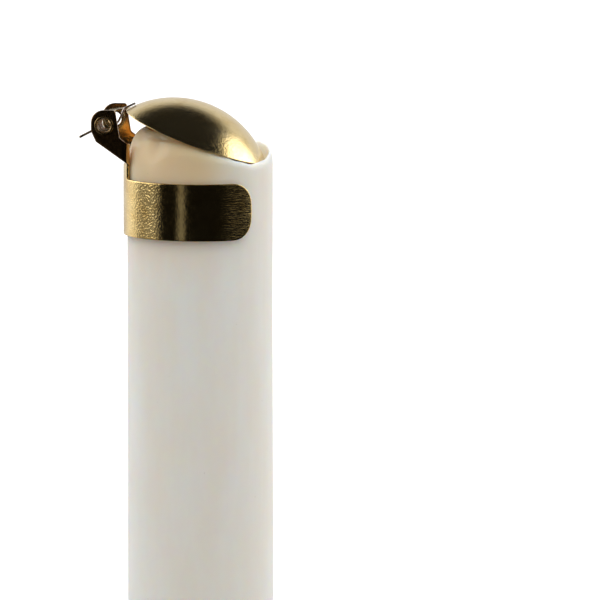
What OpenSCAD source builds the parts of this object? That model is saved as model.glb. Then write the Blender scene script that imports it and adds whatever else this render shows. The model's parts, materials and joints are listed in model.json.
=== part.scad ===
// Dinner candle, burnt part of the way down, with a clip-on brass snuffer.
// A sprung dome is hinged on a C-shaped clip that slides on the candle.
// The origin is the centre of the candle's foot, +Z is up, and the hinge is on the -X side.

/* [Candle] */
// Diameter of the candle's straight foot
foot_d = 22.4; // [22.2:0.1:23.4]
// Diameter of the candle where the clip grips it
candle_d = 22.1; // [21.9:0.1:22.1]
// Length of the straight foot
foot_h = 28; // [15:1:40]
// Height of the clip's top edge above the base
clip_top_z = 112; // [80:1:200]
// Thickness of the hard outer dip over the core
coat_t = 1.45; // [1:0.05:2]
// Diameter of the braided wick
wick_d = 1.8; // [1.2:0.1:2.4]

/* [Clip] */
// Height of the C-shaped band
band_h = 8.6; // [7:0.1:12]
// Sheet thickness of the clip
sheet_t = 0.5; // [0.4:0.05:0.6]
// Angle from the hinge to each end of the band
band_half_angle = 140.5; // [120:0.5:150]
// Corner radius of the band's ends
band_corner_r = 3.3; // [2:0.1:4]
// Distance over the outside of the two ears
ear_width = 11.8; // [11.4:0.1:12.2]

/* [Snuffer] */
// Diameter of the dome's rim
dome_d = 22.6; // [22.2:0.1:22.8]
// Depth of the dome
dome_h = 5.2; // [4.8:0.1:5.6]
// Slope of the dome's rim when it is shut
dome_slope = 20.5; // [19:0.5:22]
// Reach of the trip wire from the hinge's axis
trip_reach = 5.3; // [4.5:0.1:5.6]

/* [Hidden] */
$fn = 96;

gap = 0.07;                    // running fit between the clip and the candle, and at the hinge
candle_r = candle_d / 2;
core_r = candle_r - coat_t;
over = 1;                      // how far a cutter reaches past what it cuts
far = 60;                      // a length past the whole top

// Hinge axis, along Y, seen from the candle's axis and the clip's top edge
hinge_x = -13.8;
hinge_z = clip_top_z + 8.2;

// Wax top
taper_top_z = clip_top_z - band_h - 6;
wax_top_z = clip_top_z + 7.2;
lip_top_z = clip_top_z + 2.4;
lip_from_x = 6;                // the low lip lies past this x
pool_z = clip_top_z + 1.9;
pool_floor_r = 8.7;
pool_mouth_r = 10.1;
wax_clear = 0.5;               // between the shut dome and the wax
wire_slot_w = 1.3;
wire_slot_z = hinge_z - 5.2;
wire_slot_depth = 3;
wick_top_z = clip_top_z + 8;

// Band and ears
band_in_r = candle_r + gap;
band_out_r = band_in_r + sheet_t;
ear_y = ear_width / 2;
ear_in_y = ear_y - sheet_t;
leg_in_y = 3.9;                // inner edge of each leg of the riser
riser_h = 2;                   // height of the riser between its legs
riser_top_z = hinge_z - 2.8;
barrel_r = 1.2;
bore_r = 1.04;
flange_r = 1.45;
flange_t = 0.14;

// Dome: a cap of a sphere, set square to its rim
dome_rim_r = dome_d / 2;
dome_r = (dome_rim_r * dome_rim_r + dome_h * dome_h) / (2 * dome_h);
dome_x = -0.67;                // centre of the rim
dome_z = clip_top_z + 6.17;
dome_gap = 0.02;               // between the dome's rim and the bracket's tongue

// Bracket: a sheet curled over the spring, with an arm at each end and a tongue to the dome's rim
arm_out_y = ear_in_y - 0.18;
arm_in_y = arm_out_y - sheet_t;
web_in_r = 1.32;
web_out_r = 1.62;
web_from = 100;                // right of here the sheet runs straight on
web_to = [[arm_in_y, 108], [3.7, 150], [0.9, 215]]; // half widths, and the angle that each one ends at
lip_len = 1.2;                 // straight part that is as wide as the arms' gap
tongue_len = 3.1;
tongue_from_y = 0.4;
tongue_to_y = 3.2;
root = 0.02;                   // how far the straight part runs into the curled one

// Wires
wire_sides = 8;
trip_r = 0.2;
trip_angle = 207.5;
trip_in_r = web_in_r;
spring_r = 0.16;
coil_r = 1.05;
coil_from_y = -4.15;
coil_to_y = -1.75;
coil_turns = 5;
rings_a_turn = 14;
fixed_leg_angle = 19;          // where the fixed leg leaves the coil
free_leg_angle = -28;          // where the free leg leaves the coil
fixed_leg_len = 5.2;

// Places its children at the hinge's axis, with Y along it.
module at_hinge() {
    translate([hinge_x, 0, hinge_z])
        children();
}

// Turns a profile drawn in x and z into a plate between y0 and y1.
module plate(y0, y1) {
    translate([0, y1, 0])
        rotate([90, 0, 0])
            linear_extrude(height = y1 - y0)
                children();
}

// Places its children in the dome's own frame: origin at the rim's centre, +Z out of the dome's top.
module in_dome_frame() {
    translate([dome_x, 0, dome_z])
        rotate([0, dome_slope, 0])
            children();
}

// ---- candle ----

// Outer form of the whole candle: straight foot, slight taper, straight top.
module candle_form(inset) {
    cylinder(r = foot_d / 2 - inset, h = foot_h);
    translate([0, 0, foot_h])
        cylinder(r1 = foot_d / 2 - inset, r2 = candle_r - inset, h = taper_top_z - foot_h);
    translate([0, 0, taper_top_z])
        cylinder(r = candle_r - inset, h = wax_top_z - taper_top_z);
}

// Room that the dome needs: above its rim's plane and inside its tip's path round the hinge.
module dome_room() {
    intersection() {
        in_dome_frame()
            translate([-far / 2, -far / 2, -wax_clear])
                cube([far, far, far]);
        at_hinge()
            rotate([90, 0, 0])
                cylinder(r = tip_path_r() + wax_clear - 0.1, h = far, center = true);
    }
}

// Distance from the hinge to the dome's tip.
function tip_path_r() = norm([dome_x + dome_rim_r * cos(dome_slope) - hinge_x,
                              dome_z - dome_rim_r * sin(dome_slope) - hinge_z]);

// What the flame, the dome and the trip wire have taken from the wax.
module melted_away() {
    translate([0, 0, pool_z])
        cylinder(r1 = pool_floor_r, r2 = pool_mouth_r, h = wax_top_z - pool_z + over);
    dome_room();
    translate([lip_from_x, -far / 2, lip_top_z])
        cube([far, far, far]);
    translate([-candle_r - over, -wire_slot_w / 2, wire_slot_z])
        cube([wire_slot_depth + over, wire_slot_w, far]);
}

module candle_core() {
    color("#ece3d2")
        difference() {
            candle_form(coat_t);
            melted_away();
            translate([0, 0, -over])
                cylinder(d = wick_d, h = far * 4);
        }
}

module candle_coat() {
    color("#f6f1e6")
        difference() {
            candle_form(0);
            melted_away();
            translate([0, 0, -over])
                cylinder(r = foot_d / 2 - coat_t, h = foot_h + over);
            translate([0, 0, foot_h])
                cylinder(r1 = foot_d / 2 - coat_t, r2 = core_r, h = taper_top_z - foot_h);
            translate([0, 0, taper_top_z])
                cylinder(r = core_r, h = far);
        }
}

// The wick runs from the base to its charred end under the dome, which is a little thinner.
module wick() {
    char_h = 2.6;
    color("#2b2623") {
        cylinder(d = wick_d, h = wick_top_z - char_h);
        translate([0, 0, wick_top_z - char_h])
            cylinder(d1 = wick_d, d2 = wick_d * 0.6, h = char_h);
    }
}

// ---- clip ----

// Takes one corner off the band's end: side is -1 or 1 along Y, up is -1 or 1 along Z.
module band_corner_cutter(side, up) {
    centre_angle = 180 - band_half_angle + band_corner_r / band_out_r * 180 / PI;
    mid_z = clip_top_z - band_h / 2 + up * (band_h / 2 - band_corner_r);
    translate([0, 0, mid_z])
        mirror([0, side < 0 ? 1 : 0, 0])
            rotate([0, 0, centre_angle])
                mirror([0, 0, up < 0 ? 1 : 0])
                    difference() {
                        translate([core_r, -band_corner_r - over, 0])
                            cube([coat_t + over, band_corner_r + over, band_corner_r + over]);
                        translate([core_r - over, 0, 0])
                            rotate([0, 90, 0])
                                cylinder(r = band_corner_r, h = coat_t + 3 * over);
                    }
}

module c_band() {
    difference() {
        translate([0, 0, clip_top_z - band_h])
            rotate_extrude(angle = 2 * band_half_angle, start = 180 - band_half_angle)
                translate([band_in_r, 0])
                    square([sheet_t, band_h]);
        for (side = [-1, 1], up = [-1, 1])
            band_corner_cutter(side, up);
    }
}

// A stretch of the band's own cylinder, between two angles from the hinge, that stands on the band.
module riser_sheet(from, to, top_z) {
    foot = sheet_t;
    translate([0, 0, clip_top_z - foot])
        rotate_extrude(angle = to - from, start = 180 - to)
            translate([band_in_r, 0])
                square([sheet_t, top_z - clip_top_z + foot]);
}

// A low riser between two legs. The trip wire swings through the gap over it.
module riser() {
    leg_from = asin(leg_in_y / band_out_r);
    leg_to = asin(ear_y / band_out_r);
    riser_sheet(-leg_to, leg_to, clip_top_z + riser_h);
    riser_sheet(-leg_to, -leg_from, riser_top_z);
    riser_sheet(leg_from, leg_to, riser_top_z);
}

// Side view of an ear, with the hinge at its origin.
module ear_outline() {
    ear_r = 2;
    rise = 0.3;
    foot_x = 3.9;
    difference() {
        union() {
            translate([0, rise])
                circle(r = ear_r);
            polygon([[-1.8, -0.6], [-1.26, -2.45], [foot_x, -6], [foot_x, -2.9], [2.36, -1.85],
                     [2, 0.47], [1.8, 2], [1.55, 2.25], [0, ear_r + rise]]);
        }
        circle(r = barrel_r);
    }
}

module clip_band() {
    color("#b08d4a") {
        c_band();
        riser();
        for (y0 = [-ear_y, ear_in_y])
            at_hinge()
                plate(y0, y0 + sheet_t)
                    ear_outline();
    }
}

// One hollow rivet, drawn on the +Y side. It is pressed into the ear, and the arm turns on its barrel.
module eyelet() {
    inner_y = arm_in_y - 0.12;
    at_hinge()
        rotate([-90, 0, 0])
            difference() {
                union() {
                    translate([0, 0, inner_y])
                        cylinder(r = barrel_r, h = ear_y + flange_t - inner_y);
                    translate([0, 0, ear_y])
                        cylinder(r = flange_r, h = flange_t);
                }
                cylinder(r = bore_r, h = far);
            }
}

module eyelet_front() {
    color("#8a6b34")
        mirror([0, 1, 0])
            eyelet();
}

module eyelet_rear() {
    color("#8a6b34")
        eyelet();
}

// ---- snuffer ----

module snuffer_dome() {
    color("#c7a35a")
        in_dome_frame()
            difference() {
                translate([0, 0, dome_h - dome_r])
                    sphere(r = dome_r);
                translate([0, 0, dome_h - dome_r])
                    sphere(r = dome_r - sheet_t);
                translate([-far / 2, -far / 2, -far])
                    cube([far, far, far]);
            }
}

// Side view of an arm: a disc with the rivet's hole.
module arm_outline() {
    difference() {
        circle(r = web_out_r);
        circle(r = barrel_r + gap);
    }
}

// Side view of the curled web, from web_from up to an angle.
module web_outline(to) {
    spread = web_out_r * 3;
    steps = 4;
    intersection() {
        difference() {
            circle(r = web_out_r);
            circle(r = web_in_r);
        }
        polygon(concat([[0, 0]], [for (i = [0:steps])
            let (a = web_from + (to - web_from) * i / steps)
            [spread * cos(a), spread * sin(a)]]));
    }
}

// Side view of the straight part, which leaves the web on its tangent.
module straight_outline(length) {
    rotate(web_from)
        translate([web_in_r, -length])
            square([web_out_r - web_in_r, length + root]);
}

module dome_bracket() {
    color("#d8bd7c")
        difference() {
            at_hinge() {
                for (y0 = [-arm_out_y, arm_in_y])
                    plate(y0, y0 + sheet_t)
                        arm_outline();
                for (part = web_to)
                    plate(-part[0], part[0])
                        web_outline(part[1]);
                plate(-arm_in_y, arm_in_y)
                    straight_outline(lip_len);
                plate(tongue_from_y, tongue_to_y)
                    straight_outline(tongue_len);
            }
            in_dome_frame()
                translate([-far / 2, -far / 2, -dome_gap])
                    cube([far, far, far]);
            at_hinge()
                rotate([0, 90 - trip_angle, 0])
                    cylinder(r = trip_r, h = far);
        }
}

// Straight wire through the web: it rests on the candle's side while the snuffer is cocked open.
module trip_wire() {
    color("#9b8a63")
        at_hinge()
            rotate([0, 90 - trip_angle, 0])
                translate([0, 0, trip_in_r])
                    cylinder(r = trip_r, h = trip_reach - trip_in_r);
}

// ---- torsion spring ----

function on_coil(angle, y) = [coil_r * cos(angle), y, coil_r * sin(angle)];

// The spring's centre line: fixed leg, coil turning with rising angle, and the free leg on the dome.
function spring_route() =
    let (
        start = fixed_leg_angle,
        sweep = 360 * coil_turns + free_leg_angle - fixed_leg_angle,
        steps = round(sweep / 360 * rings_a_turn),
        leg_foot = on_coil(start, coil_from_y)
                   + fixed_leg_len * [cos(start - 90), 0, sin(start - 90)],
        coil = [for (i = [0:steps])
            on_coil(start + sweep * i / steps, coil_from_y + (coil_to_y - coil_from_y) * i / steps)],
        free_leg = [[1.62, -1.6, 0.35], [2.15, -1.55, 1.5], [2.45, -1.5, 2.12], [3.1, -1.2, 2.52],
                    [3.95, -0.7, 2.9]]
    )
    concat([leg_foot], coil, free_leg);

function unit(v) = v / norm(v);

// One ring of points square to the route at point i.
function ring(route, i, r) =
    let (
        n = len(route),
        way = unit(route[min(i + 1, n - 1)] - route[max(i - 1, 0)]),
        side = unit(cross(way, unit([0.31, 0.93, 0.17]))),
        up = cross(way, side)
    )
    [for (k = [0:wire_sides - 1])
        route[i] + r * (cos(360 * k / wire_sides) * side + sin(360 * k / wire_sides) * up)];

// A round wire along a route.
module wire(route, r) {
    n = len(route);
    points = [for (i = [0:n - 1]) each ring(route, i, r)];
    sides = [for (i = [0:n - 2], k = [0:wire_sides - 1])
        let (a = i * wire_sides + k, b = i * wire_sides + (k + 1) % wire_sides)
        each [[a, b, b + wire_sides], [a, b + wire_sides, a + wire_sides]]];
    ends = [[for (k = [0:wire_sides - 1]) wire_sides - 1 - k],
            [for (k = [0:wire_sides - 1]) (n - 1) * wire_sides + k]];
    polyhedron(points = points, faces = concat(sides, ends), convexity = 10);
}

module torsion_spring() {
    color("#c9c6bd")
        at_hinge()
            wire(spring_route(), spring_r);
}

candle_core();
candle_coat();
wick();
clip_band();
eyelet_front();
eyelet_rear();
snuffer_dome();
dome_bracket();
trip_wire();
torsion_spring();
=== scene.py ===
"""Looks for the candle with a clip-on snuffer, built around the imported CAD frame.

Lengths in the tables are millimetres, and MM turns them into metres. The origin is the centre of
the candle's foot, +Z is up, the snuffer's hinge is on the -X side, and its axis is along Y.
"""
import json
import math

import bmesh
import bpy
import numpy as np
from mathutils import Matrix, Vector
from mathutils.geometry import delaunay_2d_cdt


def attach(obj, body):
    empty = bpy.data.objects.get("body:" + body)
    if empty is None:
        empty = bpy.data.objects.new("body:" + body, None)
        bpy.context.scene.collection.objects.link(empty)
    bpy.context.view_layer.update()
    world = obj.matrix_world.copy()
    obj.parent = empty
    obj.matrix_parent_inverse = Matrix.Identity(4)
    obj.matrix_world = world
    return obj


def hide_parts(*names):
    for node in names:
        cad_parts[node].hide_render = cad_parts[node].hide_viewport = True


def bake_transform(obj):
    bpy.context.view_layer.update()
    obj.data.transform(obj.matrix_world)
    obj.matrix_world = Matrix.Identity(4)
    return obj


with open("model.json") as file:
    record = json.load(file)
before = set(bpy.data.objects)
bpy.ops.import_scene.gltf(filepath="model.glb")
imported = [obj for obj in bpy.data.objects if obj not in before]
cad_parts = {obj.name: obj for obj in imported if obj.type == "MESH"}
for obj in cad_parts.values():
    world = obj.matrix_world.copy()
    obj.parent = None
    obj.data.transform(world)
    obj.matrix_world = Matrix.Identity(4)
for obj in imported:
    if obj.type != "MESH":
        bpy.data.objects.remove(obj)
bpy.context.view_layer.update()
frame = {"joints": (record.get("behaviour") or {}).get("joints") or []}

MM = 0.001

# ---- sizes that the pieces share with the CAD model, placed from its hinge ----

JOINT = next(j for j in frame["joints"] if j["name"] == "dome_flip")
HINGE = Vector(JOINT["pos_m"]) / MM
HINGE_OVER_CLIP = 8.2            # the hinge's axis over the band's top edge
CLIP_TOP = HINGE.z - HINGE_OVER_CLIP
FOOT_R = 11.2
FOOT_H = 28.0
CANDLE_R = 11.05
CORE_R = 9.7
BAND_MID_R = 11.37               # middle of the band's sheet
SHEET_T = 0.5
EAR_FROM_Y = 5.40                # inner face of each ear
ARM_FROM_Y, ARM_TO_Y = 4.72, 5.22
DOME_CENTRE = Vector((-0.67, 0, CLIP_TOP + 6.17))
DOME_SLOPE = math.radians(20.5)
DOME_RIM_R = 11.3
DOME_H = 5.2
DOME_R = (DOME_RIM_R ** 2 + DOME_H ** 2) / (2 * DOME_H)
TRIP_ANGLE = math.radians(207.5)


# ---- mesh helpers ----

def add_piece(name, verts, faces, material, uvs=None):
    """A smooth mesh object from points in millimetres, with its faces turned outwards."""
    mesh = bpy.data.meshes.new(name)
    mesh.from_pydata([Vector(v) * MM for v in verts], [], faces)
    if uvs:
        layer = mesh.uv_layers.new(name="sheet")
        for loop in mesh.loops:
            layer.data[loop.index].uv = uvs[loop.vertex_index]
    work = bmesh.new()
    work.from_mesh(mesh)
    bmesh.ops.recalc_face_normals(work, faces=work.faces)
    work.to_mesh(mesh)
    work.free()
    mesh.polygons.foreach_set("use_smooth", [True] * len(mesh.polygons))
    mesh.materials.append(material)
    piece = bpy.data.objects.new(name, mesh)
    bpy.context.scene.collection.objects.link(piece)
    return piece


class Shape:
    """Collects points and faces, so that one piece can hold several closed forms."""

    def __init__(self):
        self.verts = []
        self.faces = []

    def loft(self, rings, loop=False):
        """Joins rings of points with faces. A ring of one point is a pole."""
        starts = []
        for ring in rings:
            starts.append(len(self.verts))
            self.verts.extend(ring)
        pairs = list(zip(range(len(rings)), range(1, len(rings))))
        if loop:
            pairs.append((len(rings) - 1, 0))
        for a, b in pairs:
            na, nb = len(rings[a]), len(rings[b])
            for i in range(max(na, nb)):
                j = (i + 1) % max(na, nb)
                quad = [starts[a] + i % na, starts[a] + j % na, starts[b] + j % nb, starts[b] + i % nb]
                self.faces.append(list(dict.fromkeys(quad)))

    def prism(self, outline, holes, place, thickness, edge=0.08, grid=0.45):
        """A pressed sheet: a flat outline with rounded edges that place(u, v, w) bends into shape."""
        loops = [outline] + holes
        half = thickness / 2
        insets = [(half, 2.4 * edge), (half, edge), (half - 0.3 * edge, 0.3 * edge), (half - edge, 0)]
        insets += [(-w, inset) for w, inset in reversed(insets)]
        flat = [p for ring in loops for p in inset_loop(ring, insets[0][1])]
        inside = grid_points(loops, grid)
        edges, start = [], 0
        for ring in loops:
            edges += [(start + i, start + (i + 1) % len(ring)) for i in range(len(ring))]
            start += len(ring)
        points, _, triangles, origin, _, _ = delaunay_2d_cdt(
            [Vector(p) for p in flat + inside], edges, [], 0, 1e-6)
        centres = np.array([[sum(points[i][k] for i in t) / 3 for k in (0, 1)] for t in triangles])
        keep = inside_loops(centres, [inset_loop(ring, insets[0][1]) for ring in loops])
        triangles = [t for t, k in zip(triangles, keep) if k]
        rims = []
        for side, (w, _) in ((0, insets[0]), (1, insets[-1])):
            base = len(self.verts)
            self.verts.extend(place(p[0], p[1], w) for p in points)
            for t in triangles:
                self.faces.append([base + i for i in (t if side == 0 else reversed(t))])
            lookup = {i: base + n for n, sources in enumerate(origin) for i in sources}
            rims.append(lookup)
        start = 0
        for ring in loops:
            rows = [[rims[0][start + i] for i in range(len(ring))]]
            for w, inset in insets[1:-1]:
                base = len(self.verts)
                self.verts.extend(place(p[0], p[1], w) for p in inset_loop(ring, inset))
                rows.append([base + i for i in range(len(ring))])
            rows.append([rims[1][start + i] for i in range(len(ring))])
            for a, b in zip(rows, rows[1:]):
                for i in range(len(ring)):
                    j = (i + 1) % len(ring)
                    self.faces.append([a[i], a[j], b[j], b[i]])
            start += len(ring)
        used = sorted({i for f in self.faces for i in f})
        order = {old: new for new, old in enumerate(used)}
        self.verts = [self.verts[i] for i in used]
        self.faces = [[order[i] for i in f] for f in self.faces]

    def tube(self, path, radius, sides=12, rounding=3):
        """A round wire along a path, with rounded ends."""
        path = [Vector(p) for p in path]
        cap = 0.6 * radius
        frames, up = [], None
        for i, p in enumerate(path):
            way = (path[min(i + 1, len(path) - 1)] - path[max(i - 1, 0)]).normalized()
            if up is None:
                up = way.orthogonal().normalized()
            up = (up - way * up.dot(way)).normalized()
            frames.append((p, way, up))
        rings = []

        def ring(p, way, up, r):
            side = way.cross(up)
            return [p + r * (math.cos(a) * up + math.sin(a) * side)
                    for a in (2 * math.pi * k / sides for k in range(sides))]

        for end, sign in ((0, -1), (-1, 1)):
            p, way, up = frames[end]
            caps = [[p + sign * cap * way]]
            for k in range(1, rounding):
                a = math.pi / 2 * k / rounding
                caps.append(ring(p + sign * cap * math.cos(a) * way, way, up, radius * math.sin(a)))
            if end == 0:
                rings += caps
                rings += [ring(*f, radius) for f in frames]
            else:
                rings += reversed(caps)
        self.loft(rings)


def fillet(corners, steps=7):
    """An outline from corners of (x, y, radius), with each corner rounded to its radius."""
    out = []
    for i, (x, y, r) in enumerate(corners):
        here = Vector((x, y))
        if not r:
            out.append(here)
            continue
        before = (Vector(corners[i - 1][:2]) - here).normalized()
        after = (Vector(corners[(i + 1) % len(corners)][:2]) - here).normalized()
        half = before.angle(after) / 2
        middle = here + (before + after).normalized() * r / math.sin(half)
        start = here + before * r / math.tan(half) - middle
        turn = math.pi - 2 * half
        if before.x * after.y - before.y * after.x > 0:
            turn = -turn
        for k in range(steps + 1):
            a = turn * k / steps
            out.append(middle + Vector((start.x * math.cos(a) - start.y * math.sin(a),
                                        start.x * math.sin(a) + start.y * math.cos(a))))
    return out


def resample(loop, step):
    """The same closed outline with no side longer than step."""
    out = []
    for a, b in zip(loop, loop[1:] + loop[:1]):
        n = max(1, math.ceil((b - a).length / step))
        out += [a.lerp(b, k / n) for k in range(n)]
    return [p for p, q in zip(out, out[-1:] + out[:-1]) if (p - q).length > 0.01]


def circle(x, y, r, count, clockwise=False):
    """A closed outline of count points round (x, y)."""
    sign = -1 if clockwise else 1
    turns = [2 * math.pi * k / count for k in range(count)]
    return [Vector((x + r * math.cos(a), y + sign * r * math.sin(a))) for a in turns]


def inset_loop(loop, distance):
    """The loop moved to its left by distance: inwards where it turns anticlockwise."""
    out = []
    for a, p, b in zip(loop[-1:] + loop[:-1], loop, loop[1:] + loop[:1]):
        d1, d2 = (p - a).normalized(), (b - p).normalized()
        n1, n2 = Vector((-d1.y, d1.x)), Vector((-d2.y, d2.x))
        mitre = (n1 + n2) / max(0.5, 1 + n1.dot(n2))
        out.append(p + mitre * distance)
    return out


def inside_loops(points, loops):
    """Whether each point is inside the outline and outside its holes, by counting crossings."""
    result = np.zeros(len(points), bool)
    x, y = points[:, 0], points[:, 1]
    for loop in loops:
        for a, b in zip(loop, loop[1:] + loop[:1]):
            if a.y == b.y:
                continue
            spans = (a.y > y) != (b.y > y)
            result ^= spans & (x < (b.x - a.x) * (y - a.y) / (b.y - a.y) + a.x)
    return result


def grid_points(loops, step):
    """A grid of points inside the outline, clear of its edges."""
    xs = [p.x for p in loops[0]]
    ys = [p.y for p in loops[0]]
    grid = np.array([(x, y) for x in np.arange(min(xs), max(xs), step)
                     for y in np.arange(min(ys), max(ys), step)])
    near = np.full(len(grid), 1e9)
    for loop in loops:
        for a, b in zip(loop, loop[1:] + loop[:1]):
            d = np.array(b - a)
            t = np.clip((grid - np.array(a)) @ d / max(d @ d, 1e-12), 0, 1)
            near = np.minimum(near, np.linalg.norm(grid - np.array(a) - t[:, None] * d, axis=1))
    keep = inside_loops(grid, loops) & (near > step * 0.75)
    return [Vector(p) for p in grid[keep]]


def revolve(profile, count, place=lambda v: v):
    """Rings of points for a profile of (r, z) turned about Z. A radius of 0 gives a pole."""
    rings = []
    for r, z in profile:
        n = 1 if r == 0 else count
        rings.append([place(Vector((r * math.cos(2 * math.pi * k / count),
                                    r * math.sin(2 * math.pi * k / count), z))) for k in range(n)])
    return rings


def share(x, low, high):
    """0 up to low, 1 from high on, and even between them."""
    return min(max((x - low) / (high - low), 0), 1)


def ease(t):
    """A share from 0 to 1, with a smooth start and end."""
    return t * t * (3 - 2 * t)


def keyed(table, x, period):
    """Interpolates rows of (x, value, value, ...) round a closed period."""
    rows = list(table)
    rows.append((rows[0][0] + period,) + tuple(rows[0][1:]))
    x = (x - rows[0][0]) % period + rows[0][0]
    a, b = next(pair for pair in zip(rows, rows[1:]) if x <= pair[1][0])
    t = share(x, a[0], b[0])
    t = 0.6 * ease(t) + 0.4 * t
    return [p + (q - p) * t for p, q in zip(a[1:], b[1:])]


def smooth_path(points, steps):
    """A smooth curve through points."""
    points = [Vector(p) for p in points]
    ends = [2 * points[0] - points[1]] + points + [2 * points[-1] - points[-2]]
    out = []
    for a, b, c, d in zip(ends, ends[1:], ends[2:], ends[3:]):
        for k in range(steps):
            t = k / steps
            out.append(0.5 * (2 * b + (c - a) * t + (2 * a - 5 * b + 4 * c - d) * t * t
                              + (3 * b - a - 3 * c + d) * t ** 3))
    return out + [points[-1]]


def at_hinge(x, y, z):
    """The object's point at (x, y, z) from the middle of the hinge's axis."""
    return Vector((HINGE.x + x, y, HINGE.z + z))


# ---- materials ----

class Material:
    """One procedural material: a Principled shader and the nodes that feed it."""

    def __init__(self, name, **sockets):
        self.data = bpy.data.materials.new(name)
        self.data.use_nodes = True
        self.tree = self.data.node_tree
        self.tree.nodes.clear()
        self.shader = self.node("ShaderNodeBsdfPrincipled")
        output = self.node("ShaderNodeOutputMaterial")
        self.tree.links.new(self.shader.outputs[0], output.inputs["Surface"])
        for key, value in sockets.items():
            self.set(self.shader, key.replace("_", " "), value)
        self.place = self.node("ShaderNodeTexCoord").outputs["Object"]
        self.normal = None

    def node(self, kind, **values):
        made = self.tree.nodes.new(kind)
        for key, value in values.items():
            setattr(made, key, value)
        return made

    def set(self, node, key, value):
        if isinstance(value, bpy.types.NodeSocket):
            self.tree.links.new(value, node.inputs[key])
        else:
            node.inputs[key].default_value = value

    def feed(self, key, value):
        self.set(self.shader, key, value)

    def stretched(self, scale, source=None):
        """The coordinates multiplied by a vector."""
        node = self.node("ShaderNodeVectorMath", operation="MULTIPLY")
        self.set(node, 0, source or self.place)
        self.set(node, 1, scale)
        return node.outputs[0]

    def noise(self, size, detail=2.0, rough=0.5, source=None, distortion=0.0):
        """Noise with features about size millimetres wide."""
        node = self.node("ShaderNodeTexNoise")
        self.set(node, "Vector", source or self.place)
        self.set(node, "Scale", 1 / (size * MM))
        self.set(node, "Detail", detail)
        self.set(node, "Roughness", rough)
        self.set(node, "Distortion", distortion)
        return node.outputs["Fac"]

    def split(self, vector):
        """The X, Y and Z of a vector."""
        node = self.node("ShaderNodeSeparateXYZ")
        self.set(node, 0, vector)
        return node.outputs

    def math(self, operation, a, b=0.0, c=0.0):
        node = self.node("ShaderNodeMath", operation=operation)
        for i, value in enumerate((a, b, c)):
            self.set(node, i, value)
        return node.outputs[0]

    def ramp(self, value, from_min, from_max, to_min=0.0, to_max=1.0):
        node = self.node("ShaderNodeMapRange", interpolation_type="SMOOTHSTEP")
        for key, number in (("Value", value), ("From Min", from_min), ("From Max", from_max),
                            ("To Min", to_min), ("To Max", to_max)):
            self.set(node, key, number)
        return node.outputs[0]

    def blend(self, factor, a, b):
        """A colour between a and b."""
        node = self.node("ShaderNodeMix", data_type="RGBA")
        self.set(node, 0, factor)
        for key, value in ((6, a), (7, b)):
            self.set(node, key, (*value, 1) if isinstance(value, tuple) else value)
        return node.outputs[2]

    def bump(self, height, depth):
        """Adds relief: depth is the height in millimetres that a full step of height stands for."""
        node = self.node("ShaderNodeBump")
        self.set(node, "Height", height)
        self.set(node, "Distance", depth * MM)
        self.set(node, "Strength", 1.0)
        if self.normal:
            self.set(node, "Normal", self.normal)
        self.normal = node.outputs[0]
        self.feed("Normal", self.normal)


PAINTED_SHADE_LOW, PAINTED_SHADE_HIGH = -17, 4     # over the band's top: a painted shade with a painted reflection of the brass, a honey tint on the wax, comes in between these
# the colour of the painted shade and painted brass reflection on the upper wax
PAINTED_SHADE_TINT = (0.84, 0.69, 0.46)
SHADE_FULL_X, SHADE_FADED_X = 1.0, 8.5       # the painted shade and reflection fade out between these along X, away from the hinge's side
BRUSH_ALONG, BRUSH_ACROSS = 0.6, 4.5  # lines in a millimetre of the brushed sheet


def tinted(colour, tint):
    """The colour times the tint, channel by channel."""
    return tuple(c * k for c, k in zip(colour, tint))


def wax_material(name, colour, glow):
    """Ivory wax: light scatters glow millimetres under a soft, faintly streaked skin."""
    m = Material(name, Roughness=0.42, IOR=1.44, Subsurface_Weight=1.0, Subsurface_Scale=glow * MM,
                 Subsurface_Radius=(1.0, 0.78, 0.52), Specular_IOR_Level=0.45)
    clouds = m.noise(6.0, 3, 0.55, m.stretched((1, 1, 0.3)))
    drips = m.noise(1.6, 2, 0.5, m.stretched((1, 1, 0.06)))
    warmer, paler = tinted(colour, (0.99, 0.97, 0.935)), tinted(colour, (1.02, 1.02, 1.02))
    base = m.blend(m.ramp(clouds, 0.3, 0.7), warmer, paler)
    x, _, z = m.split(m.place)
    # Painted shade and painted reflection: the upper wax on the hinge's side is tinted honey, standing in
    # for the dome's shade and the brass's reflected colour.
    shade_by_height = m.ramp(z, (CLIP_TOP + PAINTED_SHADE_LOW) * MM, (CLIP_TOP + PAINTED_SHADE_HIGH) * MM)
    shade_by_side = m.ramp(x, SHADE_FULL_X * MM, SHADE_FADED_X * MM, 1.0, 0.15)
    base = m.blend(m.math("MULTIPLY", shade_by_height, shade_by_side), base, tinted(colour, PAINTED_SHADE_TINT))
    specks = m.ramp(m.noise(0.7, 1, 0.4), 0.80, 0.84)
    base = m.blend(m.math("MULTIPLY", specks, 0.22), base, (0.42, 0.34, 0.24))
    m.feed("Base Color", base)
    m.feed("Roughness", m.ramp(m.noise(2.5, 2), 0.3, 0.7, 0.34, 0.52))
    m.bump(drips, 0.05)
    m.bump(m.noise(0.6, 2, 0.6), 0.006)
    return m.data


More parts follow.
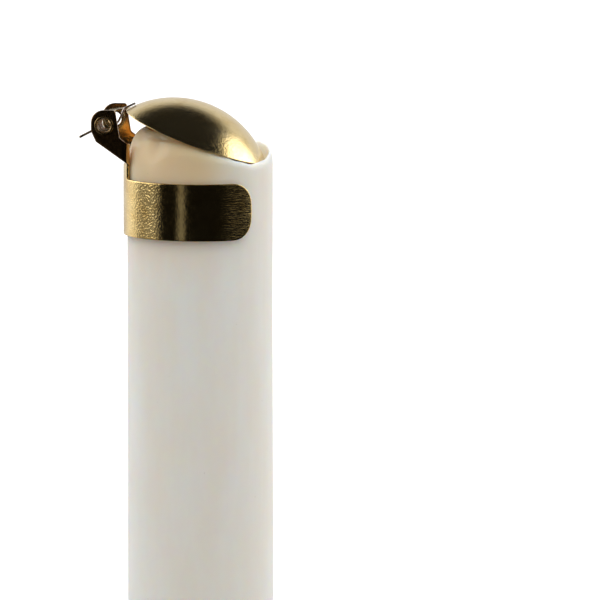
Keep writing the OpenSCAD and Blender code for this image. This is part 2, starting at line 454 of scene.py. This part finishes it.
def brass(name, pale, deep, roughness, peel, size):
    """What every brass has: tarnish, specks and an uneven gloss. The caller adds the grain's relief.

    Gives the material, its colour, its tarnish and its grain.
    """
    m = Material(name, Metallic=1.0, Roughness=roughness)
    tarnish = m.noise(3.2, 4, 0.6, distortion=0.4)
    specks = m.ramp(m.noise(size * 0.9, 1, 0.4), 0.62, 0.74)
    colour = m.blend(m.ramp(tarnish, 0.35, 0.72), pale, deep)
    colour = m.blend(m.math("MULTIPLY", specks, 0.18), colour, tinted(deep, (0.55, 0.55, 0.55)))
    gloss = m.noise(size * 1.6, 3, 0.6)
    m.feed("Roughness", m.ramp(gloss, 0.3, 0.7, roughness * 0.78, roughness * 1.25))
    m.bump(m.noise(size * 2.6, 2, 0.5), peel * 0.3)
    return m, colour, tarnish, m.noise(size, 1, 0.4)


def plain_brass(name, pale, deep, roughness, peel, size):
    """Satin brass with a fine orange-peel grain."""
    m, colour, _, grain = brass(name, pale, deep, roughness, peel, size)
    m.feed("Base Color", colour)
    m.bump(grain, peel)
    return m.data


def clip_brass(name, pale, deep, roughness, peel, size):
    """The clip's sheet: stippled by the hinge, brushed towards its ends, oxidised on the ears, and painted a
    lighter gold between the ears as painted light.

    Its UV map holds millimetres: u runs round the band from the hinge, and v up from the band's top.
    """
    m, colour, tarnish, grain = brass(name, pale, deep, roughness, peel, size)
    uv = m.node("ShaderNodeUVMap", uv_map="sheet").outputs[0]
    u, v, _ = m.split(uv)
    along = m.math("ABSOLUTE", u)
    over_band = m.ramp(m.math("ADD", v, m.math("MULTIPLY", tarnish, 1.5)), 2.2, 4.4)
    colour = m.blend(m.math("MULTIPLY", over_band, 0.85), colour, (0.40, 0.215, 0.085))
    y = m.math("ABSOLUTE", m.split(m.place)[1])
    # Painted light: over the band, the faces between the ears get a lighter golden colour that stands in for
    # the light they catch.
    between_ears = m.ramp(y, (EAR_FROM_Y + 0.04) * MM, (EAR_FROM_Y + 0.16) * MM, 1.0, 0.0)
    painted_light_heights = m.math("MULTIPLY", m.ramp(v, 2.6, 3.4), m.ramp(v, 7.2, 9.4, 1.0, 0.0))
    painted_light_gold = m.blend(m.ramp(tarnish, 0.35, 0.6), (0.98, 0.70, 0.32), (0.86, 0.46, 0.13))
    m.feed("Base Color", m.blend(m.math("MULTIPLY", between_ears, painted_light_heights), colour, painted_light_gold))
    near_hinge = m.ramp(along, 11.5, 14.5, 1.0, 0.14)
    stippled = m.math("MULTIPLY", near_hinge, m.ramp(over_band, 0.0, 1.0, 1.0, 0.15))
    m.bump(m.math("MULTIPLY", grain, stippled), peel)
    lines = m.noise(1.0, 3, 0.65, m.stretched((BRUSH_ALONG * MM, BRUSH_ACROSS * MM, 0), uv))
    m.bump(m.math("MULTIPLY", lines, m.ramp(along, 20.0, 27.0)), 0.05)
    return m.data


def wire_material(name, colour, dark, roughness):
    """Drawn wire: a fine grain, with grime in random patches."""
    m = Material(name, Metallic=1.0, Roughness=roughness)
    grime = m.ramp(m.noise(0.5, 3, 0.6), 0.4, 0.72)
    m.feed("Base Color", m.blend(grime, colour, dark))
    m.feed("Roughness", m.ramp(m.noise(0.2, 2), 0.3, 0.7, roughness * 0.8, roughness * 1.3))
    m.bump(m.noise(0.12, 2), 0.003)
    return m.data


def wick_material():
    """Braided cotton: waxed and pale in the candle, charred above it."""
    m = Material("wick_cotton", Roughness=0.85, Specular_IOR_Level=0.3)
    wobble = m.math("MULTIPLY_ADD", m.noise(0.5, 2), 0.9 * MM, m.split(m.place)[2])
    burnt = m.ramp(wobble, (CLIP_TOP + 2.6) * MM, (CLIP_TOP + 4.4) * MM)
    ash = m.ramp(m.noise(0.25, 3, 0.7), 0.58, 0.72)
    char = m.blend(ash, (0.012, 0.010, 0.009), (0.09, 0.082, 0.075))
    cotton = m.blend(m.noise(0.2, 2), (0.80, 0.70, 0.53), (0.62, 0.50, 0.34))
    m.feed("Base Color", m.blend(burnt, cotton, char))
    m.bump(m.noise(0.16, 3, 0.7), 0.05)
    return m.data


COAT_WAX = wax_material("coat_wax", (0.945, 0.893, 0.838), 2.6)
CORE_WAX = wax_material("core_wax", (0.860, 0.800, 0.700), 3.2)
WICK = wick_material()
# Pale and deep colour, roughness, depth of the grain, size of the grain
CLIP_BRASS = clip_brass("clip_brass", (0.82, 0.61, 0.26), (0.68, 0.46, 0.16), 0.15, 0.056, 0.31)
DOME_BRASS = plain_brass("dome_brass", (0.84, 0.66, 0.34), (0.76, 0.56, 0.24), 0.19, 0.024, 0.30)
ARM_BRASS = plain_brass("bracket_brass", (0.62, 0.50, 0.27), (0.40, 0.28, 0.12), 0.24, 0.006, 0.30)
RIVET_BRASS = plain_brass("rivet_brass", (0.56, 0.38, 0.17), (0.38, 0.24, 0.10), 0.25, 0.003, 0.20)
TRIP_BRASS = wire_material("trip_brass", (0.42, 0.32, 0.20), (0.14, 0.10, 0.07), 0.34)
SPRING_STEEL = wire_material("spring_steel", (0.86, 0.77, 0.70), (0.50, 0.40, 0.33), 0.42)


# ---- candle ----

# Azimuth from +X in degrees, crest's height over the band, its radius, and the rounding's height below it
RIM = (
    (-180, 7.5, 8.2, 6.6), (-150, 7.5, 8.3, 6.2), (-125, 7.4, 8.5, 4.8), (-105, 6.85, 9.1, 3.0),
    (-90, 6.0, 9.8, 1.9), (-75, 5.0, 10.1, 1.7), (-62, 4.15, 10.15, 1.4), (-50, 3.28, 10.4, 1.1),
    (-35, 2.62, 10.5, 1.0), (-15, 3.0, 10.6, 1.4), (0, 3.7, 10.6, 2.0), (12, 4.0, 10.62, 2.1),
    (28, 4.6, 10.68, 2.1), (42, 4.9, 10.76, 1.9), (52, 4.4, 10.78, 1.4), (62, 3.9, 10.4, 1.1),
    (75, 4.9, 10.1, 1.5), (90, 5.9, 9.8, 1.8), (110, 6.8, 9.1, 3.2), (135, 7.4, 8.5, 5.0),
)
POOL_FLOOR = 1.9                 # over the band's top, as SLOT_FLOOR and LEDGE_Z are
SLOT_FLOOR = 3.0                 # of the notch that the trip wire swings through
SLOT_HALF_W = 0.72
SLOT_CREST_R = 9.6
SLOT_REACH = 20                  # degrees to each side of the notch that its rule covers
SLOT_SIDE = (1.3, 2.6, 3.3, 3.7, 4.1, 4.6, 5.6, 7)  # degrees, close together where the notch's wall is
FOOT_ROUND = 0.35
TAPER_TOP = CLIP_TOP - 14.6
WAVER_TOP = CLIP_TOP - 9         # the side is even from here up, where the clip grips it
WAVER_FADE = 8
INNER_CLOSE = 1.2                # the coat's skin closes over the core here
FOLD_AZIMUTH, FOLD_WIDTH, FOLD_DEPTH = -121, 8, 0.5  # a soft fold in the melted side
LEDGE_AZIMUTH, LEDGE_WIDTH = -126, 22                # a ledge that an earlier, lower pool left
LEDGE_Z, LEDGE_EDGE, LEDGE_DEPTH = 6.2, 0.08, 0.5
FLOOR_TURN = 0.45                # radius between the pool's wall and its floor


def waver(azimuth, z):
    """Slow unevenness of a dipped candle's side. It never reaches past the true radius."""
    a = math.radians(azimuth)
    return (0.018 * math.sin(3 * a + 0.05 * z) + 0.012 * math.sin(7 * a - 0.11 * z + 1.3)
            + 0.010 * math.sin(0.33 * z + 2 * a) - 0.04)


def rim_at(azimuth):
    """The crest's height and radius, and the height where its rounding starts, with the notch cut."""
    crest, crest_r, shoulder = keyed(RIM, azimuth, 360)
    from_notch = 180 - abs((azimuth + 180) % 360 - 180)
    if from_notch < SLOT_REACH:
        across = abs(math.sin(math.radians(azimuth - 180))) * CANDLE_R
        t = ease(share(across, 0.72 * SLOT_HALF_W, 1.28 * SLOT_HALF_W))
        crest = SLOT_FLOOR + (crest - SLOT_FLOOR) * t
        crest_r = SLOT_CREST_R + (crest_r - SLOT_CREST_R) * t
        shoulder = min(shoulder, crest - 1)
    return crest, crest_r, crest - shoulder


def quarter(count):
    """A number of even steps up to a right angle, without 0."""
    return [math.pi / 2 * k / count for k in range(1, count + 1)]


def side_profile(azimuth):
    """(r, z) down the foot's inside, over its rounded edge and up to the band."""
    profile = [(CORE_R, INNER_CLOSE), (CORE_R, 0.1), (CORE_R + 0.1, 0)]
    for a in [0] + quarter(4):
        profile.append((FOOT_R - FOOT_ROUND * (1 - math.sin(a)), FOOT_ROUND * (1 - math.cos(a))))
    for z in (4, 10, 16, 22, FOOT_H, 36, 44, 52, 60, 68, 76, 84, 91, TAPER_TOP,
              CLIP_TOP - 10, CLIP_TOP - 6, CLIP_TOP - 3):
        r = FOOT_R + (CANDLE_R - FOOT_R) * share(z, FOOT_H, TAPER_TOP)
        fade = min(1, max(0, WAVER_TOP - z) / WAVER_FADE)
        profile.append((r + waver(azimuth, z) * fade - 0.01, z))
    return profile + [(CANDLE_R, CLIP_TOP - 1)]


def wax_profile(azimuth):
    """(r, z) down the foot's inside, up the side, over the rim and across the pool."""
    crest, crest_r, start = rim_at(azimuth)
    base = max(0.3, start)
    turned = (azimuth + 180) % 360 - 180
    fold = math.exp(-((turned - FOLD_AZIMUTH) / FOLD_WIDTH) ** 2)
    ledge = math.exp(-((turned - LEDGE_AZIMUTH) / LEDGE_WIDTH) ** 4)
    profile = side_profile(azimuth)
    profile.append((CANDLE_R, CLIP_TOP + min(base, 0.3)))
    steps = 26
    for k in range(steps + 1):
        a = math.pi / 2 * k / steps
        z = base + (crest - base) * math.sin(a)
        r = crest_r + (CANDLE_R - crest_r) * math.cos(a)
        r -= FOLD_DEPTH * fold * math.sin(math.pi * k / steps)
        r -= LEDGE_DEPTH * ledge * share(z, LEDGE_Z - LEDGE_EDGE, LEDGE_Z + LEDGE_EDGE) * math.cos(a)
        profile.append((r, CLIP_TOP + z))
    inner_r = crest_r - 0.2
    lip = min(0.3, (crest - POOL_FLOOR) * 0.3)
    for a in quarter(4):
        profile.append((crest_r - (crest_r - inner_r) * math.sin(a),
                        CLIP_TOP + crest - lip * (1 - math.cos(a))))
    low = POOL_FLOOR + FLOOR_TURN
    for k in range(1, 4):
        profile.append((inner_r - 0.03 * k, CLIP_TOP + crest - lip + (low - crest + lip) * k / 3))
    for a in quarter(5):
        profile.append((inner_r - 0.09 - FLOOR_TURN * (1 - math.cos(a)),
                        CLIP_TOP + low - FLOOR_TURN * math.sin(a)))
    for r in (7, 5, 3.2, 2, 1.4, 1.0):
        creep = 0.35 * math.exp(-((r - 0.8) / 0.7) ** 2)
        profile.append((r, CLIP_TOP + POOL_FLOOR + creep))
    return profile


def build_coat():
    """The hard outer dip with its melted rim and pool."""
    step = 1.875
    notch = [180 + side * d for side in (-1, 1) for d in SLOT_SIDE] + [180]
    even = [k * step for k in range(round(360 / step))]
    azimuths = sorted(notch + [a for a in even if abs(a - 180) > SLOT_SIDE[-1] + 0.4])
    rings = []
    for azimuth in azimuths:
        a = math.radians(azimuth)
        rings.append([Vector((r * math.cos(a), r * math.sin(a), z)) for r, z in wax_profile(azimuth)])
    rows = [list(row) for row in zip(*rings)]
    shape = Shape()
    shape.loft([[Vector((0, 0, INNER_CLOSE))]] + rows + [[Vector((0, 0, CLIP_TOP + POOL_FLOOR + 0.3))]])
    return add_piece("wax_coat", shape.verts, shape.faces, COAT_WAX)


def build_core():
    """The soft core, which shows only at the foot."""
    top = CLIP_TOP + 1.0
    bore, edge, rows = 1.15, 0.12, 12
    r = CORE_R - 0.07
    profile = [(bore, edge), (bore + edge, 0), (r - edge, 0), (r, edge)]
    profile += [(r, edge + (top - edge) * k / rows) for k in range(1, rows)]
    profile += [(r, top - edge), (r - edge, top), (bore + edge, top), (bore, top - edge)]
    shape = Shape()
    shape.loft(revolve(profile, 96), loop=True)
    return add_piece("wax_core", shape.verts, shape.faces, CORE_WAX)


def build_wick():
    """Three strands twisted together, burnt and bent over at the top."""
    foot, burnt_from, top = 0.42, CLIP_TOP + 4.2, CLIP_TOP + 7.9
    strand_r, offset, pitch = 0.46, 0.42, 4.6
    count = 300
    shape = Shape()
    for strand in range(3):
        path = []
        for i in range(count + 1):
            z = foot + (top - foot) * i / count
            burn = max(0, z - burnt_from) / (top - burnt_from)
            a = 2 * math.pi * (strand / 3 + z / pitch)
            spread = offset * (1 + 0.16 * burn * math.sin(9 * z + strand))
            bend = 0.75 * burn ** 2
            wander = 0.10 * burn * math.sin(5.1 * z + 2 * strand)
            path.append((spread * math.cos(a) + bend + wander, spread * math.sin(a) - 0.35 * bend,
                         z - (0.35 * strand if i == count else 0)))
        shape.tube(path, strand_r, 8)
    return add_piece("wick_braid", shape.verts, shape.faces, WICK)


# ---- clip ----

BAND_HALF_L = 27.88              # along the middle of the sheet
BAND_H = 8.6
FLAP_U = 5.10                    # where each ear is bent out of the band
BEND_R = 0.5
HALF_TURN = FLAP_U / BAND_MID_R
BEND_TURN = math.pi / 2 + HALF_TURN
EAR_HOLE_U = FLAP_U + BEND_R * BEND_TURN + 3.10
EAR_HOLE_R = 1.2
# Half of the cut sheet: distance round the band from the hinge's side, height, corner radius
SHEET_OUTLINE = (
    (BAND_HALF_L, -BAND_H, 3.3), (BAND_HALF_L, 0, 3.3), (FLAP_U, 0, 0.25), (FLAP_U, 1.95, 0.3),
    (EAR_HOLE_U + 1.26, 5.70, 0.4), (EAR_HOLE_U + 2.0, 7.30, 1.2), (EAR_HOLE_U + 2.0, 10.50, 1.9),
    (EAR_HOLE_U - 1.68, 10.50, 0.45), (EAR_HOLE_U - 2.05, 8.10, 1.0), (EAR_HOLE_U - 2.36, 6.25, 0.6),
    (EAR_HOLE_U - 3.57, 5.35, 0.5), (3.98, 5.35, 0.3), (3.98, 2.0, 0.35),
)


def on_clip(u, v, w):
    """Where a point of the cut sheet goes: round the band, or over the bend and onto an ear."""
    side = -1 if u > 0 else 1
    a = abs(u)
    if a <= FLAP_U or v < 1.0:
        turn = a / BAND_MID_R
        normal = Vector((-math.cos(turn), math.sin(turn)))
        flat = normal * (BAND_MID_R + w)
    else:
        normal = Vector((-math.cos(HALF_TURN), math.sin(HALF_TURN)))
        centre = normal * (BAND_MID_R + BEND_R)
        turn = min((a - FLAP_U) / BEND_R, BEND_TURN)
        facing = Matrix.Rotation(turn, 2) @ normal
        along = Matrix.Rotation(turn, 2) @ Vector((math.sin(HALF_TURN), math.cos(HALF_TURN)))
        flat = centre - facing * (BEND_R - w) + along * max(0, a - FLAP_U - BEND_R * BEND_TURN)
    return Vector((flat.x, side * flat.y, CLIP_TOP + v))


def build_clip():
    """The C-shaped band with its riser and two ears, cut and bent from one sheet."""
    corners = list(SHEET_OUTLINE) + [(-u, v, r) for u, v, r in reversed(SHEET_OUTLINE)]
    outline = resample(fillet(corners), 0.36)
    holes = [circle(side * EAR_HOLE_U, HINGE_OVER_CLIP, EAR_HOLE_R, 40, clockwise=True) for side in (1, -1)]
    shape = Shape()
    shape.prism(outline, holes, on_clip, SHEET_T)
    uvs = []
    for v in shape.verts:
        turn = math.atan2(abs(v.y), -v.x)
        uvs.append((BAND_MID_R * turn, v.z - CLIP_TOP))
    return add_piece("clip_sheet", shape.verts, shape.faces, CLIP_BRASS, uvs)


def build_eyelet(name, side):
    """A hollow rivet: its outer end is rolled over, and its inner end is the barrel's plain edge."""
    inner, outer = 4.60, 6.04
    bore, barrel, flange, lip, edge = 1.04, 1.2, 1.45, 0.14, 0.03
    profile = [(bore, outer - 0.30), (bore + 0.02, outer - 0.12), (bore + 0.09, outer - 0.02),
               (barrel, outer), (flange - 0.12, outer - 0.01), (flange - edge, outer - 0.04),
               (flange, outer - 0.08), (flange - edge, outer - 0.125), (flange - 0.15, outer - lip),
               (barrel, outer - lip - 0.01), (barrel, inner + edge), (barrel - edge, inner),
               (bore + edge, inner), (bore, inner + edge)]
    shape = Shape()
    shape.loft(revolve(profile, 48, lambda v: at_hinge(v.x, side * v.z, v.y)), loop=True)
    return add_piece(name, shape.verts, shape.faces, RIVET_BRASS)


# ---- snuffer ----

def in_dome(v):
    """From the dome's own frame, with its rim's centre as the origin, to the object's."""
    return DOME_CENTRE + Matrix.Rotation(DOME_SLOPE, 3, "Y") @ v


def build_dome():
    """A spun cap of a sphere with a rounded rim."""
    low = DOME_H - DOME_R
    inner_r = DOME_R - SHEET_T
    edge = 0.16
    outer_end = math.asin(DOME_RIM_R / DOME_R) - edge / DOME_R
    inner_end = math.acos(-low / inner_r) - edge / inner_r
    steps = 48
    profile = [(0, low + DOME_R)]
    profile += [(DOME_R * math.sin(outer_end * k / steps), low + DOME_R * math.cos(outer_end * k / steps))
                for k in range(1, steps + 1)]
    a, b = Vector(profile[-1]), Vector((inner_r * math.sin(inner_end), low + inner_r * math.cos(inner_end)))
    corner_a, corner_b = Vector((DOME_RIM_R, 0)), Vector((inner_r * math.sin(inner_end + edge / inner_r), 0))
    middle = (corner_a + corner_b) / 2
    for k in range(1, 5):
        t = k / 5
        profile.append(tuple(a * (1 - t) ** 2 + corner_a * 2 * t * (1 - t) + middle * t * t))
    profile.append(tuple(middle))
    for k in range(1, 5):
        t = k / 5
        profile.append(tuple(middle * (1 - t) ** 2 + corner_b * 2 * t * (1 - t) + b * t * t))
    profile += [(inner_r * math.sin(inner_end * k / steps), low + inner_r * math.cos(inner_end * k / steps))
                for k in range(steps, 0, -1)]
    profile.append((0, low + inner_r))
    shape = Shape()
    shape.loft(revolve(profile, 144, in_dome))
    return add_piece("snuffer_cap", shape.verts, shape.faces, DOME_BRASS)


WEB_MID_R = 1.47
WEB_T = 0.3
WEB_FROM = math.radians(100)     # the sheet runs straight on from here to the dome
ARM_R, ARM_HOLE_R = 1.62, 1.27


def web_len(degrees):
    """Distance round the web's middle from where it starts to an angle."""
    return WEB_MID_R * (math.radians(degrees) - WEB_FROM)


def on_bracket(s, y, w):
    """Over the spring and down its back, or straight on to the dome's rim where s is negative."""
    turn = WEB_FROM + max(s, 0) / WEB_MID_R
    out = Vector((math.cos(turn), math.sin(turn)))
    flat = out * (WEB_MID_R + w) + Vector((-out.y, out.x)) * min(0, s)
    return at_hinge(flat.x, y, flat.y)


def build_bracket():
    """The snuffer's bracket: a sheet over the spring, a tongue to the dome, and an arm at each end."""
    edge_y, leg_y, tail_y = ARM_FROM_Y + 0.08, 3.7, 0.9
    tongue_end, lip_end = -2.95, -1.2
    leg_side, back, tail = web_len(108), web_len(150), web_len(215)
    corners = [
        (tail, -tail_y, 0.3), (tail, tail_y, 0.3), (back + 0.1, tail_y, 0.25), (back, edge_y, 0.5),
        (lip_end, edge_y, 0.1), (lip_end, 3.2, 0.2), (tongue_end, 3.0, 0.35), (tongue_end, 0.5, 0.35),
        (lip_end, 0.4, 0.2), (lip_end, -edge_y, 0.1), (leg_side, -edge_y, 0.1), (leg_side, -leg_y, 0.15),
        (back, -leg_y, 0.5), (back + 0.1, -tail_y, 0.25)]
    shape = Shape()
    shape.prism(resample(fillet(corners, 5), 0.25), [], on_bracket, WEB_T, 0.05, 0.26)
    for side in (-1, 1):
        middle = side * (ARM_FROM_Y + ARM_TO_Y) / 2
        disc = Shape()
        disc.prism(circle(0, 0, ARM_R, 56), [circle(0, 0, ARM_HOLE_R, 48, clockwise=True)],
                   lambda x, z, w, y=middle: at_hinge(x, y + w, z), ARM_TO_Y - ARM_FROM_Y, 0.05, 0.3)
        base = len(shape.verts)
        shape.verts += disc.verts
        shape.faces += [[base + i for i in f] for f in disc.faces]
    return add_piece("snuffer_bracket", shape.verts, shape.faces, ARM_BRASS)


def build_trip_wire():
    """A straight wire out of the back of the web."""
    way = Vector((math.cos(TRIP_ANGLE), 0, math.sin(TRIP_ANGLE)))
    reach = (1.4, 2.1, 2.9, 3.6, 4.3, 4.9, 5.2)
    shape = Shape()
    shape.tube([at_hinge(*(way * r)) for r in reach], 0.19, 14)
    return add_piece("trip_pin", shape.verts, shape.faces, TRIP_BRASS)


COIL_R = 1.05
COIL_WIRE_R = 0.16
COIL_FROM_Y, COIL_TO_Y = -4.15, -1.75


def build_spring():
    """A torsion spring: its fixed leg lies on the band, and its free leg presses on the dome."""
    start, turns, free = 19, 5, -28
    sweep = 360 * turns + free - start
    rings_a_turn = 24
    count = round(sweep / 360 * rings_a_turn)
    coil = []
    for i in range(count + 1):
        a = math.radians(start + sweep * i / count)
        coil.append(Vector((COIL_R * math.cos(a), COIL_FROM_Y + (COIL_TO_Y - COIL_FROM_Y) * i / count,
                            COIL_R * math.sin(a))))
    way = Vector((math.cos(math.radians(start - 90)), 0, math.sin(math.radians(start - 90))))
    fixed = [coil[0] + way * length for length in (5.1, 3.6, 2.2, 1.1, 0.4)]
    free_leg = smooth_path([coil[-1], (1.62, -1.6, 0.35), (2.15, -1.55, 1.5), (2.45, -1.5, 2.12),
                            (3.1, -1.2, 2.52), (3.95, -0.7, 2.9)], 6)[1:]
    shape = Shape()
    shape.tube([at_hinge(*p) for p in fixed + coil + free_leg], COIL_WIRE_R, 12)
    return add_piece("torsion_coil", shape.verts, shape.faces, SPRING_STEEL)


# ---- pieces, the bodies that they ride on and the CAD nodes that they stand for ----

PIECES = (
    (build_coat(), "candle", "candle_coat", "coat_wax"),
    (build_core(), "candle", "candle_core", "core_wax"),
    (build_wick(), "candle", "wick", "wick_cotton"),
    (build_clip(), "clip", "clip_band", "clip_brass"),
    (build_eyelet("eyelet_near", -1), "clip", "eyelet_front", "rivet_brass"),
    (build_eyelet("eyelet_far", 1), "clip", "eyelet_rear", "rivet_brass"),
    (build_dome(), "snuffer", "snuffer_dome", "dome_brass"),
    (build_bracket(), "snuffer", "dome_bracket", "bracket_brass"),
    (build_trip_wire(), "snuffer", "trip_wire", "trip_brass"),
)
for piece, body, node, slot in PIECES:
    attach(piece, body)
    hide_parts(node)

spring = build_spring()
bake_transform(spring)
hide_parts("torsion_spring")


# ---- stage ----

CAMERA_AZIMUTH, CAMERA_ELEVATION = 7.6, 7.0
CAMERA_LENS, CAMERA_DISTANCE = 475, 1.2
AIM_RIGHT, AIM_DOWN = 15.15, 18.7  # where the lens points, from the middle of the band's top


def heading(azimuth, elevation):
    """The direction towards a camera at that azimuth and elevation."""
    a, e = math.radians(azimuth), math.radians(elevation)
    return Vector((math.sin(a) * math.cos(e), -math.cos(a) * math.cos(e), math.sin(e)))


def add_camera():
    """A long lens, a little above the band, with the candle's foot below the picture."""
    back = heading(CAMERA_AZIMUTH, CAMERA_ELEVATION)
    right = Vector((math.cos(math.radians(CAMERA_AZIMUTH)), math.sin(math.radians(CAMERA_AZIMUTH)), 0))
    up = back.cross(right)
    target = (Vector((0, 0, CLIP_TOP)) + AIM_RIGHT * right - AIM_DOWN * up) * MM
    data = bpy.data.cameras.new("camera")
    data.lens, data.sensor_width = CAMERA_LENS, 36
    data.clip_start, data.clip_end = 0.05, 60
    camera = bpy.data.objects.new("camera", data)
    camera.location = target + back * CAMERA_DISTANCE
    camera.rotation_mode = "QUATERNION"
    camera.rotation_quaternion = (-back).to_track_quat("-Z", "Y")
    bpy.context.scene.collection.objects.link(camera)
    bpy.context.scene.camera = camera


def add_floor():
    """A plain white floor. Metal doesn't mirror it: it mirrors the studio's cards instead."""
    half = 12.0
    corners = [(-half, -half, 0), (half, -half, 0), (half, half, 0), (-half, half, 0)]
    mesh = bpy.data.meshes.new("floor")
    mesh.from_pydata(corners, [], [(0, 1, 2, 3)])
    floor = bpy.data.objects.new("floor", mesh)
    m = Material("floor_white", Roughness=0.9, Specular_IOR_Level=0.1)
    shade = m.ramp(m.noise(90, 2), 0.3, 0.7)
    m.feed("Base Color", m.blend(shade, (0.93, 0.93, 0.93), (0.95, 0.95, 0.95)))
    mesh.materials.append(m.data)
    floor.visible_glossy = False
    floor.visible_diffuse = False
    bpy.context.scene.collection.objects.link(floor)


def add_sun():
    """A very wide, soft light from above that brightens the floor and makes no highlight."""
    data = bpy.data.lights.new("overhead", "SUN")
    data.energy, data.angle = 1.9, math.radians(60)
    lamp = bpy.data.objects.new("overhead", data)
    lamp.rotation_euler = (math.radians(14), math.radians(-10), 0)
    lamp.visible_glossy = False
    bpy.context.scene.collection.objects.link(lamp)


class Studio(Material):
    """The world's nodes, which draw white cards on a dark room by direction."""

    def __init__(self):
        self.data = bpy.data.worlds.new("studio")
        self.data.use_nodes = True
        self.tree = self.data.node_tree
        self.tree.nodes.clear()
        self.place = self.node("ShaderNodeTexCoord").outputs["Generated"]
        self.height = self.split(self.place)[2]
        level = self.stretched((1, 1, 0))
        unit = self.node("ShaderNodeVectorMath", operation="NORMALIZE")
        self.set(unit, 0, level)
        self.level = unit.outputs[0]

    def towards(self, source, direction):
        """How far a direction points along another, from -1 to 1."""
        node = self.node("ShaderNodeVectorMath", operation="DOT_PRODUCT")
        self.set(node, 0, source)
        self.set(node, 1, direction)
        return node.outputs["Value"]

    def within(self, cosine, half_width, soft):
        """1 where an angle, given by its cosine, is under half_width degrees."""
        outside, inside = half_width + soft, max(0.0, half_width - soft)
        return self.ramp(cosine, math.cos(math.radians(outside)), math.cos(math.radians(inside)))

    def sector(self, azimuth, half_width, soft):
        """1 inside a sector of azimuths, in degrees from +X, and 0 outside it."""
        a = math.radians(azimuth)
        return self.within(self.towards(self.level, (math.cos(a), math.sin(a), 0)), half_width, soft)

    def spot(self, azimuth, elevation, radius, soft):
        """1 inside a round card."""
        a, e = math.radians(azimuth), math.radians(elevation)
        middle = (math.cos(a) * math.cos(e), math.sin(a) * math.cos(e), math.sin(e))
        return self.within(self.towards(self.place, middle), radius, soft)

    def above(self, elevation, soft):
        """1 above an elevation in degrees, and 0 below it."""
        start, end = math.radians(elevation - soft), math.radians(elevation + soft)
        return self.ramp(self.height, math.sin(start), math.sin(end))

    def between(self, low, high, soft):
        """1 between two elevations in degrees."""
        under_high = self.math("SUBTRACT", 1.0, self.above(high, soft))
        return self.math("MULTIPLY", self.above(low, soft), under_high)

    def card(self, mask_a, mask_b, strength):
        """Light of a strength where both masks are 1."""
        return self.math("MULTIPLY", self.math("MULTIPLY", mask_a, mask_b), strength)


def add_world():
    """White behind, seen by the camera; cards in a dark room for the metal; soft light for the wax."""
    studio = Studio()
    left, right = studio.sector(173, 40, 6), studio.sector(-15, 30, 12)
    behind, streak = studio.sector(90, 76, 8), studio.sector(-110.4, 4, 3)
    cards = (
        studio.card(behind, studio.between(-30, 40, 10), 0.76),
        studio.card(left, studio.between(0, 42, 3), 1.75),
        studio.card(left, studio.between(-60, 0, 3), 0.24),
        studio.card(streak, studio.between(-30, 30, 12), 0.19),
        studio.card(studio.spot(24, 20, 20, 9), 1.0, 2.4),
        studio.card(right, studio.between(3, 40, 5), 0.24),
    )
    total = 0.004  # what the dark room gives back
    for card in cards:
        total = studio.math("ADD", total, card)
    to_back = studio.towards(studio.place, (0.12, 0.92, 0.1))
    soft = studio.ramp(to_back, -0.75, 0.9, 0.42, 1.40)
    rays = studio.node("ShaderNodeLightPath").outputs
    pick = studio.node("ShaderNodeMix", data_type="FLOAT")
    for key, value in ((0, rays["Is Glossy Ray"]), (2, soft), (3, total)):
        studio.set(pick, key, value)
    seen = studio.node("ShaderNodeMix", data_type="FLOAT")
    for key, value in ((0, rays["Is Camera Ray"]), (2, pick.outputs[0]), (3, 1.0)):
        studio.set(seen, key, value)
    background = studio.node("ShaderNodeBackground")
    background.inputs["Color"].default_value = (1, 1, 1, 1)
    studio.set(background, "Strength", seen.outputs[0])
    output = studio.node("ShaderNodeOutputWorld")
    studio.tree.links.new(background.outputs[0], output.inputs["Surface"])
    bpy.context.scene.world = studio.data


add_camera()
add_floor()
add_sun()
add_world()
bpy.context.scene.view_settings.view_transform = "Standard"
